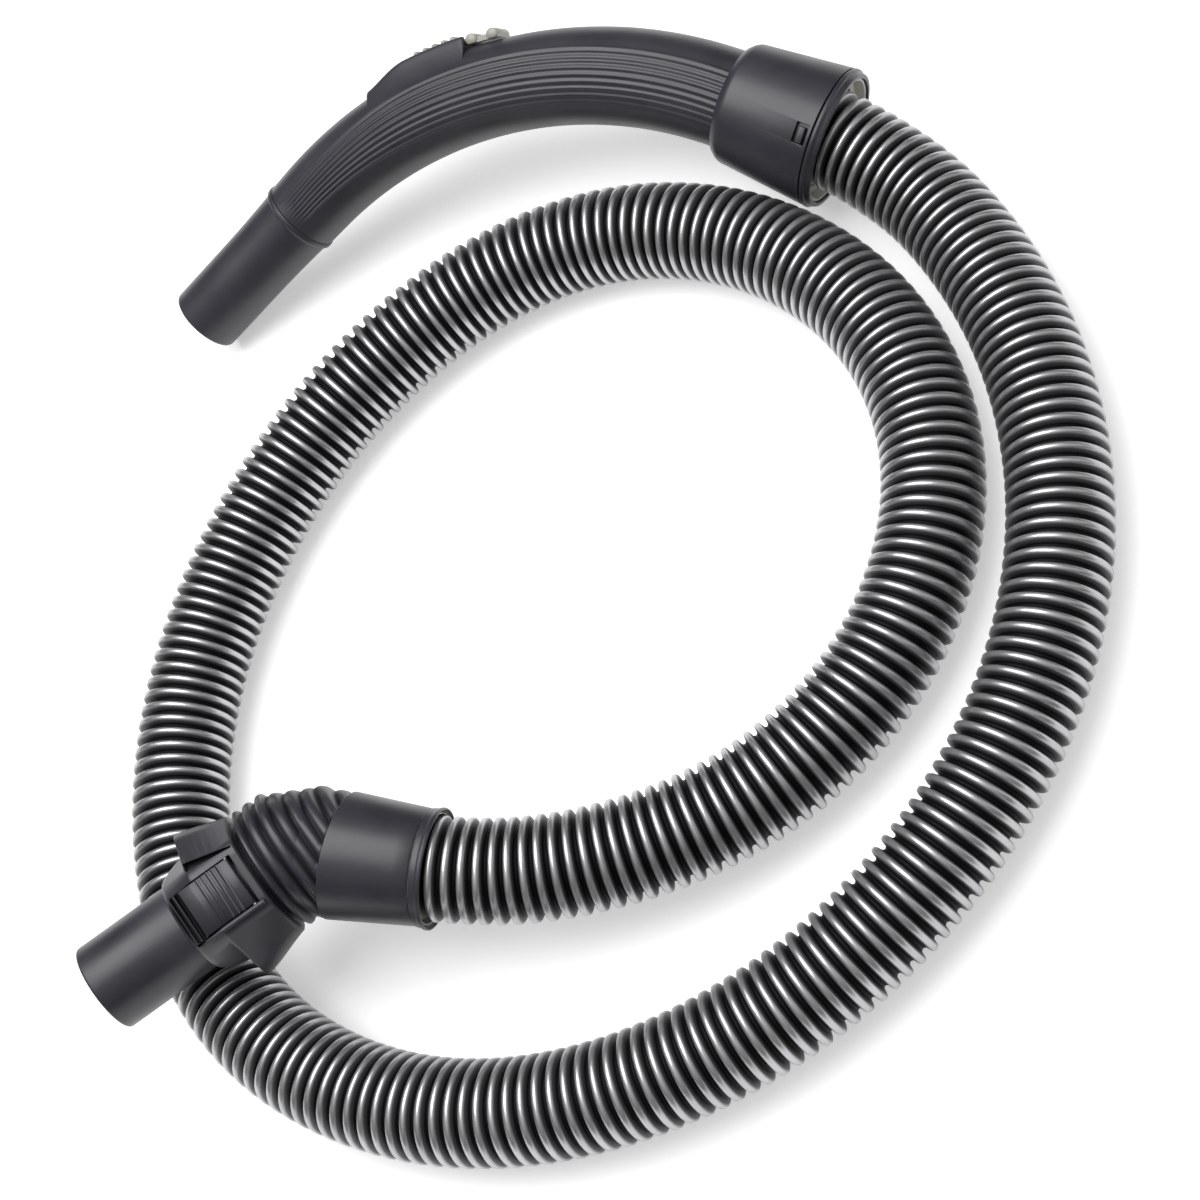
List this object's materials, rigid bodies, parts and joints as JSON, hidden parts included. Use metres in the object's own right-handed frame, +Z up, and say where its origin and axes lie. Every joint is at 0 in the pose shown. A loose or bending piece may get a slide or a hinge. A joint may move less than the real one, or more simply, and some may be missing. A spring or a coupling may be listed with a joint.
{
  "type": "vacuum cleaner hose",
  "caption": "Corrugated hose of a canister vacuum cleaner, lying in loops, with a bent hand grip at one end and a swivelling latched elbow connector at the other.",
  "frame": {"origin": "on the floor, under the middle of the plan of the handle and the machine connector, the hose left out", "axes": "+Z up from the floor that the hose lies on; +X along the chord of the grip's bend, from the wand spigot towards the hose; +Y from the machine connector towards the handle"},
  "size_m": [0.415, 0.4712, 0.0897],
  "materials": {
    "charcoal_plastic": "satin moulded charcoal with a faint blue tint",
    "grip_plastic": "satin moulded charcoal, ribbed for grip",
    "dark_plastic": "satin near black",
    "light_plastic": "satin warm light grey",
    "hose_plastic": "glossy dark grey with a metallic sheen",
    "black_rubber": "matt black",
    "spring_steel": "bright spring steel"
  },
  "bodies": {
    "hose_run": {"hose": "hose_plastic", "handle_bush": "light_plastic", "machine_bush": "light_plastic", "machine_ring": "dark_plastic", "elbow_body": "charcoal_plastic", "swivel_seal": "black_rubber", "swivel_clip": "spring_steel"},
    "handle": {"wand_spigot": "charcoal_plastic", "grip_body": "grip_plastic", "regulator_housing": "charcoal_plastic", "regulator_gasket": "black_rubber", "handle_cuff": "charcoal_plastic", "handle_ring": "dark_plastic", "handle_seal": "black_rubber"},
    "regulator": {"regulator_slider": "light_plastic"},
    "connector": {"connector_tube": "charcoal_plastic", "latch_shroud": "charcoal_plastic", "latch_pins": "spring_steel", "latch_spring_upper": "spring_steel", "latch_spring_lower": "spring_steel"},
    "upper_lever": {"latch_lever_upper": "dark_plastic"},
    "lower_lever": {"latch_lever_lower": "dark_plastic"}
  },
  "joints": [
    {"name": "handle_swivel", "type": "hinge", "parent": "hose_run", "child": "handle", "pos_m": [0.15002, 0.14151, 0.028], "axis": [0.8555, -0.4431, -0.2679], "continuous": true},
    {"name": "regulator_slide", "type": "hinge", "parent": "handle", "child": "regulator", "pos_m": [0.01229, 0.02451, -0.04655], "axis": [0.0089, 0.5299, -0.848], "range_deg": [0, 3.2]},
    {"name": "connector_swivel", "type": "hinge", "parent": "hose_run", "child": "connector", "pos_m": [-0.0567, -0.146, 0.059], "axis": [-0.8191, -0.563, 0.1097], "continuous": true},
    {"name": "upper_latch_press", "type": "hinge", "parent": "connector", "child": "upper_lever", "pos_m": [-0.06664, -0.16428, 0.08237], "axis": [0.4807, -0.7782, -0.4043], "range_deg": [0, 3.5], "stiffness_Nm_per_rad": 1.5, "springref_deg": -1.15, "deforming": ["latch_spring_upper"]},
    {"name": "lower_latch_press", "type": "hinge", "parent": "connector", "child": "lower_lever", "pos_m": [-0.08116, -0.15136, 0.04024], "axis": [-0.4807, 0.7782, 0.4043], "range_deg": [0, 3.5], "stiffness_Nm_per_rad": 1.5, "springref_deg": -1.15, "deforming": ["latch_spring_lower"]}
  ]
}
